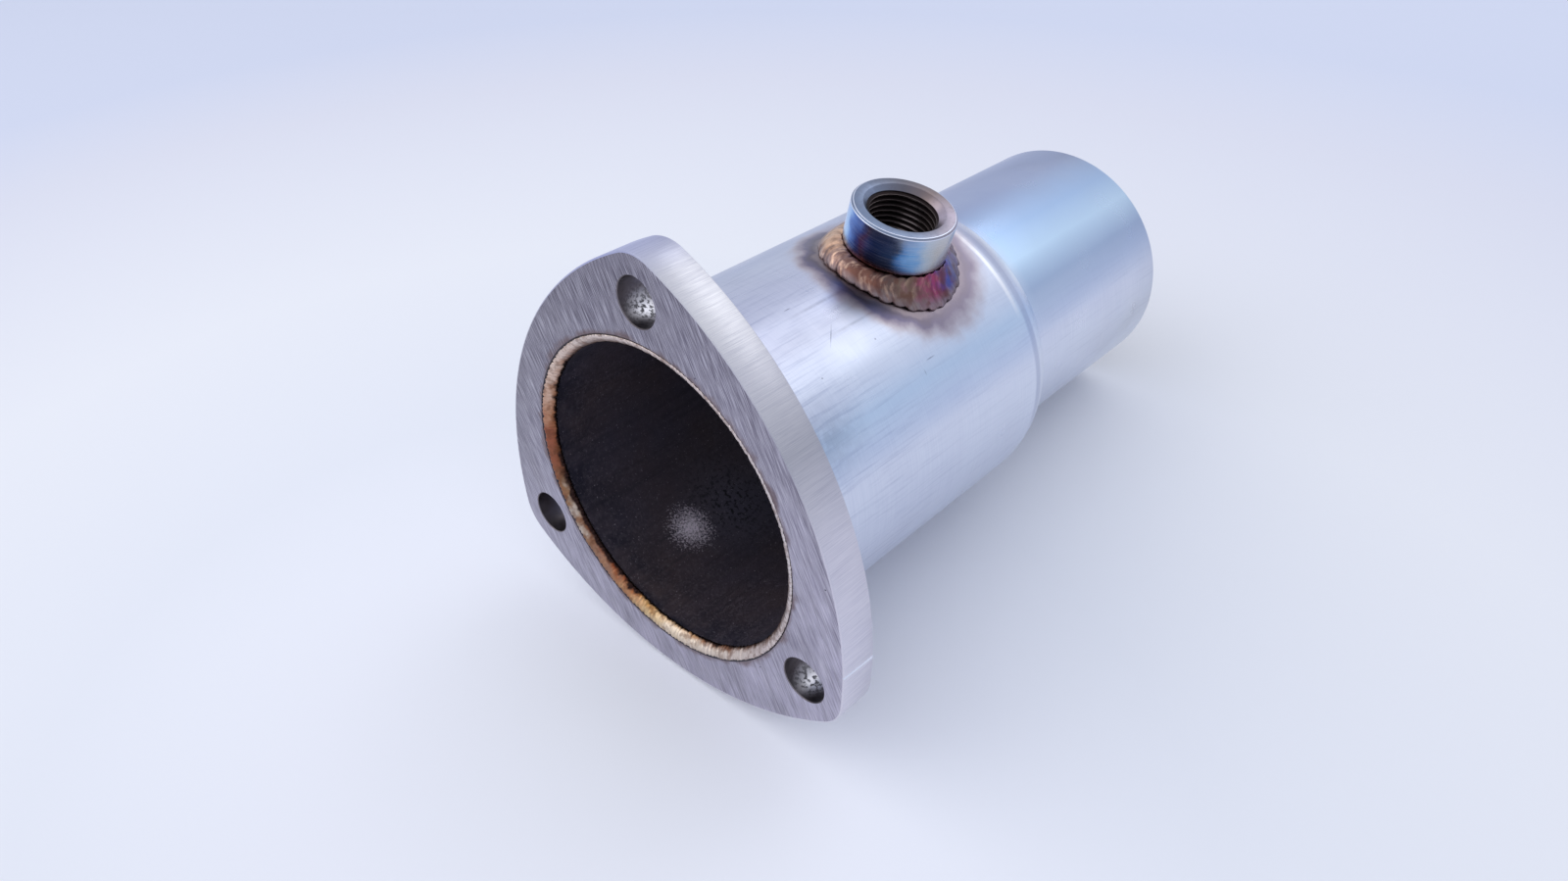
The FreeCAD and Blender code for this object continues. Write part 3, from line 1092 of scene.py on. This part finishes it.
def bung_bead_finish():
    """Bung weld: coppery and tan scales in front, purple and blue on the right, with painted highlights on
    the scales at the left.
    """
    material, tree, shader, place = new_finish("bung_bead")
    spot = grouped(tree, BUNG_PLACE, Vector=place)
    wander = drift(tree, place, 3 * MM, 0.03)
    turn = sums(tree, "ADD", spot["Turn"], wander)
    # The pale cream stops near -150 and -128 degrees are partly painted highlight; the rest is the weld's
    # heat colour.
    band = ramp(tree, turn, turn_stops([
        (-180, (150, 120, 110)), (-150, (212, 180, 152)), (-128, (216, 176, 148)), (-112, (150, 122, 116)),
        (-92, (124, 90, 80)), (-74, (134, 92, 78)), (-58, (98, 80, 76)), (-40, (120, 100, 88)),
        (-27, (122, 88, 92)), (-14, (150, 68, 102)), (2, (108, 64, 124)), (18, (76, 84, 148)),
        (40, (126, 120, 148)), (90, (140, 116, 104)), (140, (120, 104, 120)), (180, (150, 120, 110)),
    ]))
    # Painted light: the toe is made lighter where the bead meets the tube, against the shade there.
    rim = spread(tree, spot["Radius"], 16.2 * MM, 17.4 * MM)
    band = tinted(tree, band, (142, 130, 132), rim, 0.8)
    round_it = product(tree, spot["Turn"], BEAD_RUN)
    off_middle = sums(tree, "SUBTRACT", spot["Radius"], BEAD_MIDDLE)
    bow = product(tree, product(tree, off_middle, off_middle), BEAD_BOW)
    round_it = sums(tree, "SUBTRACT", round_it, bow)
    lie = put(tree, "ShaderNodeCombineXYZ", {"X": round_it, "Y": spot["Radius"]}).outputs["Vector"]
    strokes = streaks(tree, lie, 0.46, 0.66, sizes=(1.7, 5, 1))
    band = tinted(tree, band, (90, 62, 60), strokes, 0.55)
    glow = streaks(tree, lie, 0.5, 0.68, place=(0.05, 0.01, 0), sizes=(1.3, 2.6, 1))
    # Painted highlights: the scales are lit up on the left side.
    lit = product(tree, glow, spread(tree, turn, 0.2, 0.38, 0.7, 0.15))
    band = tinted(tree, band, (232, 194, 168), lit)
    burnt = spread(tree, cloud(tree, place, 3.2 * MM), 0.5, 0.64)
    band = tinted(tree, band, (96, 62, 54), burnt, 0.6)
    feed(tree, shader, band, spread(tree, glow, 0, 1, 0.36, 0.26), glow, 0.03 * MM, 0.4)
    return material


def flange_bead_finish():
    """Flange weld: cream at the top left, rust at the lower left and straw gold at the bottom."""
    material, tree, shader, place = new_finish("flange_bead")
    parts = split(tree, place)
    angle = turn_of(tree, parts["Z"], parts["X"])
    wander = drift(tree, place, 4 * MM, 0.02)
    outer = ramp(tree, sums(tree, "ADD", angle, wander), turn_stops([
        (-180, (154, 92, 70)), (-164, (146, 94, 70)), (-156, (150, 114, 84)), (-148, (198, 184, 170)),
        (-140, (150, 114, 88)), (-128, (156, 118, 98)), (-115, (178, 130, 94)), (-104, (208, 180, 138)),
        (-88, (218, 202, 182)), (-40, (212, 198, 192)), (20, (220, 210, 208)), (80, (210, 194, 188)),
        (120, (220, 204, 194)), (150, (222, 196, 178)), (168, (186, 138, 110)), (180, (154, 92, 70)),
    ]))
    inner = ramp(tree, sums(tree, "ADD", angle, wander), turn_stops([
        (-180, (112, 68, 44)), (-160, (60, 38, 30)), (-148, (96, 60, 44)), (-132, (118, 58, 34)),
        (-117, (150, 76, 40)), (-106, (176, 130, 76)), (-93, (190, 158, 120)), (-70, (130, 90, 66)),
        (-30, (160, 130, 116)), (60, (170, 142, 130)), (130, (186, 154, 138)), (160, (170, 118, 84)),
        (180, (134, 76, 46)),
    ]))
    depth = sums(tree, "ADD", parts["Y"], drift(tree, place, 2.4 * MM, 0.8 * MM))
    colour = mix(tree, spread(tree, depth, 0.5 * MM, 2.0 * MM), outer, inner)
    burnt = spread(tree, cloud(tree, place, 1.8 * MM), 0.5, 0.64)
    colour = tinted(tree, colour, (110, 74, 56), burnt, 0.45)
    rough_line = sums(tree, "ADD", parts["Y"], drift(tree, place, 3.0 * MM, 0.7 * MM))
    low_left = spread(tree, off(tree, angle, FLANGE_BEAD_BURNT_TURN), 0.1, 0.06, 0.0, 0.7 * MM)
    rough_line = sums(tree, "ADD", rough_line, low_left)
    colour = tinted(tree, colour, (44, 30, 28), spread(tree, rough_line, 1.7 * MM, 2.3 * MM))
    uneven = spread(tree, cloud(tree, place, 4 * MM, 2.0), 0, 1, 0, 0.012)
    wave = product(tree, sums(tree, "ADD", angle, uneven), FULL_TURN * FLANGE_BEAD_RIPPLES)
    ripple = spread(tree, sums(tree, "SINE", wave), -1, 1)
    colour = tinted(tree, colour, (104, 78, 68), spread(tree, ripple, 0.45, -0.3, 0.0, 0.2))
    feed(tree, shader, colour, spread(tree, burnt, 0, 1, 0.36, 0.5), ripple, 0.1 * MM, 0.4)
    return material


# Stage, light and camera

FLOOR_RADIUS = 2.2


def make_floor():
    """A large pale table top that the flange's back edge and the outlet's rim rest on."""
    flange_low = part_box("flange_plate")[0]
    tube_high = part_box("body_tube")[1]
    rest = Vector((0, FLANGE_THICKNESS, flange_low.z))
    reach = Vector((0, tube_high.y, -OUTLET_RADIUS)) - rest
    tilt = math.atan2(reach.z, reach.y)
    bpy.ops.mesh.primitive_circle_add(vertices=96, radius=FLOOR_RADIUS, fill_type="NGON")
    floor = named(bpy.context.object, "pale_floor")
    floor.location = rest
    floor.rotation_euler = (tilt, 0, 0)
    floor.data.materials.append(floor_finish())


def floor_finish():
    material = bpy.data.materials.new("pale_paper")
    material.use_nodes = True
    tree = material.node_tree
    shader = tree.nodes["Principled BSDF"]
    shader.inputs["Roughness"].default_value = 0.9
    shader.inputs["Specular IOR Level"].default_value = 0.1
    place = tree.nodes.new("ShaderNodeTexCoord").outputs["Object"]
    spot = placed(tree, place, place=(0.0, -0.04, 0), sizes=(0.6, 0.5, 1))
    distance = put(tree, "ShaderNodeVectorMath", {0: spot}, operation="LENGTH").outputs["Value"]
    # Painted light: the floor is brightest near the part and darker further out, a pool of light and a
    # fall-off painted into its colour.
    colour = ramp(tree, distance, [
        (0.0, srgb(247, 248, 252)), (0.12, srgb(241, 242, 247)), (0.25, srgb(232, 234, 239)),
        (0.45, srgb(234, 235, 238)), (0.8, srgb(220, 221, 230)), (1.05, srgb(210, 215, 230)),
    ])
    tree.links.new(colour, shader.inputs["Base Color"])
    clear = tree.nodes.new("ShaderNodeBsdfTransparent").outputs[0]
    back = tree.nodes.new("ShaderNodeNewGeometry").outputs["Backfacing"]
    seen = put(tree, "ShaderNodeMixShader", {0: back, 1: shader.outputs[0], 2: clear}).outputs[0]
    tree.links.new(seen, tree.nodes["Material Output"].inputs["Surface"])
    return material


def make_panel(name, place, aim, width, height, level, colour):
    """A soft lamp whose level is its brightness as seen in polished metal."""
    lamp = bpy.data.lights.new(name, "AREA")
    lamp.shape = "RECTANGLE"
    lamp.size, lamp.size_y = width, height
    lamp.energy = level * math.pi * width * height
    lamp.color = colour
    piece = bpy.data.objects.new(name, lamp)
    bpy.context.scene.collection.objects.link(piece)
    piece.location = place
    piece.rotation_euler = (Vector(aim) - Vector(place)).to_track_quat("-Z", "Y").to_euler()


def make_light():
    middle = (0, 0.08, 0)
    make_panel("window_panel", (0.09, 0.66, 0.70), middle, 0.7, 0.5, 0.8, (0.96, 0.98, 1.0))
    make_panel("front_panel", (-0.65, -0.5, 0.8), middle, 1.1, 0.9, 0.92, (1.0, 0.97, 0.92))
    world = bpy.context.scene.world or bpy.data.worlds.new("pale_room")
    bpy.context.scene.world = world
    world.use_nodes = True
    back = world.node_tree.nodes["Background"]
    back.inputs["Color"].default_value = (0.84, 0.88, 1.0, 1.0)
    back.inputs["Strength"].default_value = 0.93


CAMERA_TURN = math.radians(43.257)
CAMERA_LIFT = math.radians(34.789)
CAMERA_ROLL = math.radians(-1.229)
CAMERA_DISTANCE = 246.340 * MM
CAMERA_AIM = Vector((18.930, 22.914, 14.502)) * MM
FOCAL_PIXELS = 1118.659
PHOTO_WIDTH = 1600


def make_camera():
    lens = bpy.data.cameras.new("camera")
    lens.sensor_width = 36
    lens.lens = FOCAL_PIXELS / PHOTO_WIDTH * lens.sensor_width
    lens.clip_start, lens.clip_end = 0.01, 20
    camera = bpy.data.objects.new("camera", lens)
    bpy.context.scene.collection.objects.link(camera)
    level = math.cos(CAMERA_LIFT)
    back = Vector((math.sin(CAMERA_TURN) * level, -math.cos(CAMERA_TURN) * level, math.sin(CAMERA_LIFT)))
    camera.location = CAMERA_AIM + back * CAMERA_DISTANCE
    camera.rotation_mode = "QUATERNION"
    camera.rotation_quaternion = (-back).to_track_quat("-Z", "Y") @ Quaternion((0, 0, 1), CAMERA_ROLL)
    bpy.context.scene.camera = camera


def stand_for(piece, node):
    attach(piece, "root")
    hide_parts(node)


def tube_side_chooser(centre, normal):
    """0 the outside and the front rim, 1 the bore."""
    outward = Vector((centre.x, 0, centre.z)).normalized()
    return 1 if normal.dot(outward) < -0.1 and centre.y > TUBE_SETBACK + 0.01 * MM else 0


def flange_chooser(centre, normal):
    """0 the flat faces, 1 the rim, 2 hole walls and the mark's painted shade, 3 the bore, 4 the mark's
    painted highlight.
    """
    if abs(normal.y) > 0.97:
        return 0
    outward = Vector((centre.x, 0, centre.z)).normalized()
    flat = Vector((centre.x, centre.z, 0))
    if any((flat - place).length < BOLT_HOLE_RADIUS + 0.3 * MM for place in bolt_places()):
        return 2
    beside_mark = abs(centre.z - CUT_MARK_PLACE[1]) < 1.0 * MM and centre.x > BOLT_CIRCLE_RADIUS
    if beside_mark and abs(normal.z) > 0.5:
        # Painted light: the mark's lower wall gets the bright finish, its upper wall the dark hole wall
        # finish.
        return 4 if normal.z > 0 else 2
    return 1 if normal.dot(outward) > 0 else 3


def bung_chooser(centre, normal):
    """0 the side, 1 the end face, 2 the thread, 3 a corner with a painted highlight."""
    axis = Vector((math.sin(BUNG_CLOCK), 0, math.cos(BUNG_CLOCK)))
    arm = centre - ALONG * BUNG_DISTANCE
    radius = (arm - axis * arm.dot(axis)).length
    high = arm.dot(axis) > BUNG_TOP - BUNG_EDGE - 0.1 * MM
    if radius < THREAD_MAJOR + 0.01 * MM and arm.dot(axis) < BUNG_TOP - THREAD_LEAD:
        return 2
    slope = normal.dot(axis)
    corner = radius > BUNG_RADIUS - BUNG_EDGE - 0.15 * MM and (0.1 < slope < 0.6 or 0.75 < slope < 0.985)
    # Painted highlight on the mouth's edge, only on its left and back.
    mouth_edge = abs(radius - MOUTH_RADIUS) < 0.09 * MM and arm.y - arm.x > 4 * MM
    if high and (corner or mouth_edge):
        return 3
    return 1 if slope > 0.5 or radius < MOUTH_RADIUS else 0


def main():
    make_camera()
    sanded = sanded_face_finish()
    rim = ground_rim_finish()
    wall = drilled_wall_finish()
    bore = sooty_bore_finish()
    painted_highlight = painted_highlight_finish()
    tube = make_tube()
    dress(tube, [satin_tube_finish(), bore], tube_side_chooser)
    stand_for(tube, "body_tube")
    flange = make_flange()
    dress(flange, [sanded, rim, wall, bore, painted_highlight], flange_chooser)
    stand_for(flange, "flange_plate")
    bung = make_bung()
    dress(bung, [polished_bung_finish(), bung_top_finish(), cut_thread_finish(), painted_highlight], bung_chooser)
    stand_for(bung, "sensor_bung")
    bung_bead = make_bung_bead()
    dress(bung_bead, [bung_bead_finish()])
    stand_for(bung_bead, "bung_weld")
    flange_bead = make_flange_bead()
    dress(flange_bead, [flange_bead_finish()])
    stand_for(flange_bead, "flange_weld")
    make_floor()
    make_light()
    bpy.context.scene.view_settings.view_transform = "Standard"


main()
